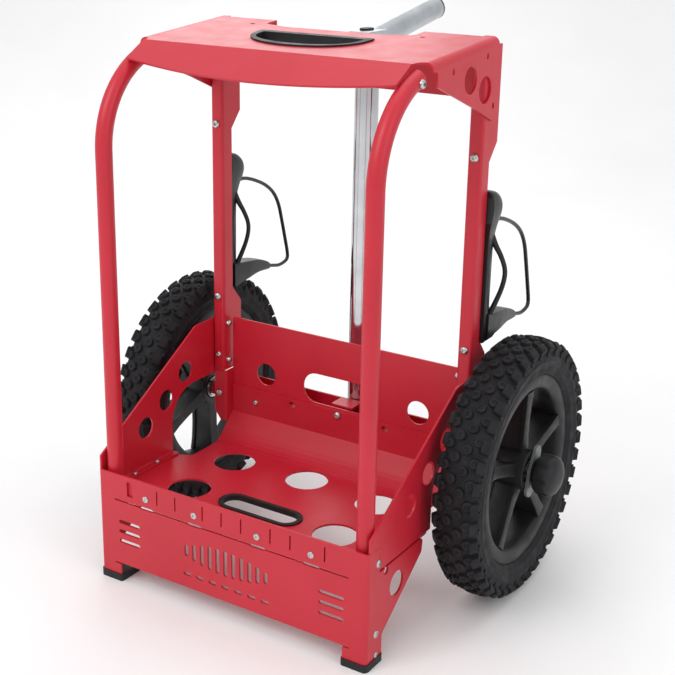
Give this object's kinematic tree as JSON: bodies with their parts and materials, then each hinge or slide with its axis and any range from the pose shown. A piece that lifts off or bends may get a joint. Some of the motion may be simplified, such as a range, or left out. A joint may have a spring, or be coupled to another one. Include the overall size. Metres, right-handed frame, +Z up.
{
  "type": "disc golf cart",
  "caption": "Two-wheeled disc golf cart: folded sheet frame with seat and cargo floor, knobby wheels, telescoping pull handle and side bottle cages.",
  "frame": {"origin": "centre of the overall box, on the ground under the cart", "axes": "+Z up, the cargo bay's open front faces -Y, the wheels' axle runs along X"},
  "size_m": [0.5756, 0.451, 0.6647],
  "materials": {
    "powder_coat": "satin",
    "zinc_steel": "satin",
    "chrome": "polished",
    "aluminium": "satin",
    "rubber": "matte",
    "tyre": "matte",
    "black_plastic": "satin",
    "black_wire": "satin",
    "grey_plastic": "satin"
  },
  "bodies": {
    "frame": {"front_panel": "powder_coat", "floor_plate": "powder_coat", "rear_plate": "powder_coat", "axle_channel": "powder_coat", "seat_plate": "powder_coat", "handle_clamp": "powder_coat", "handle_upper_bracket": "powder_coat", "axle_tube": "powder_coat", "side_plate_right": "powder_coat", "side_plate_left": "powder_coat", "rear_post_right": "powder_coat", "rear_post_left": "powder_coat", "front_tube_right": "powder_coat", "front_tube_left": "powder_coat", "axle_bracket_right": "powder_coat", "axle_bracket_left": "powder_coat", "panel_screw_1": "zinc_steel", "panel_screw_2": "zinc_steel", "panel_screw_3": "zinc_steel", "panel_screw_4": "zinc_steel", "post_bolt_1_right": "zinc_steel", "post_bolt_1_left": "zinc_steel", "post_bolt_2_right": "zinc_steel", "post_bolt_2_left": "zinc_steel", "tube_bolt_right": "zinc_steel", "tube_bolt_left": "zinc_steel", "rear_plate_bolt": "zinc_steel", "axle_rod": "zinc_steel", "handle_outer_tube": "chrome", "handle_collar": "black_plastic", "seat_hole_trim": "rubber", "floor_slot_trim": "rubber", "hub_washer_right": "chrome", "hub_washer_left": "chrome", "foot_cap_right": "rubber", "foot_cap_left": "rubber", "bottle_cage_right": "black_plastic", "bottle_cage_left": "black_plastic", "cage_rod_right": "black_wire", "cage_rod_left": "black_wire"},
    "wheel_right": {"wheel_rim_right": "black_plastic", "tyre_right": "tyre", "bearing_inner_right": "zinc_steel", "bearing_outer_right": "zinc_steel"},
    "knob_right": {"wheel_knob_right": "black_plastic", "hub_plate_right": "grey_plastic"},
    "wheel_left": {"wheel_rim_left": "black_plastic", "tyre_left": "tyre", "bearing_inner_left": "zinc_steel", "bearing_outer_left": "zinc_steel"},
    "knob_left": {"wheel_knob_left": "black_plastic", "hub_plate_left": "grey_plastic"},
    "handle": {"handle_inner_tube": "aluminium", "handle_head": "aluminium", "handle_grip": "aluminium", "grip_end_cap": "rubber"},
    "release": {"handle_button": "black_plastic", "release_rod": "zinc_steel"},
    "plunger": {"lock_plunger": "zinc_steel"}
  },
  "joints": [
    {"name": "wheel_spin_right", "type": "hinge", "parent": "frame", "child": "wheel_right", "pos_m": [0.2255, 0.03156, 0.155], "axis": [1, 0, 0], "continuous": true},
    {"name": "knob_turn_right", "type": "hinge", "parent": "frame", "child": "knob_right", "pos_m": [0.265, 0.03156, 0.155], "axis": [1, 0, 0], "range_deg": [0, 360]},
    {"name": "wheel_spin_left", "type": "hinge", "parent": "frame", "child": "wheel_left", "pos_m": [-0.2255, 0.03156, 0.155], "axis": [1, 0, 0], "continuous": true},
    {"name": "knob_turn_left", "type": "hinge", "parent": "frame", "child": "knob_left", "pos_m": [-0.265, 0.03156, 0.155], "axis": [-1, 0, 0], "range_deg": [0, 360]},
    {"name": "handle_slide", "type": "slide", "parent": "frame", "child": "handle", "axis": [0, 0, 1], "range_m": [0, 0.35]},
    {"name": "button_press", "type": "slide", "parent": "handle", "child": "release", "axis": [0, 0, -1], "range_m": [0, 0.003], "stiffness_N_per_m": 900, "springref_m": -0.003},
    {"name": "plunger_draw", "type": "slide", "parent": "handle", "child": "plunger", "axis": [0, -1, 0], "range_m": [0, 0.003]}
  ],
  "couplings": [
    {"joint": "plunger_draw", "follows": "button_press", "ratio": 1}
  ]
}
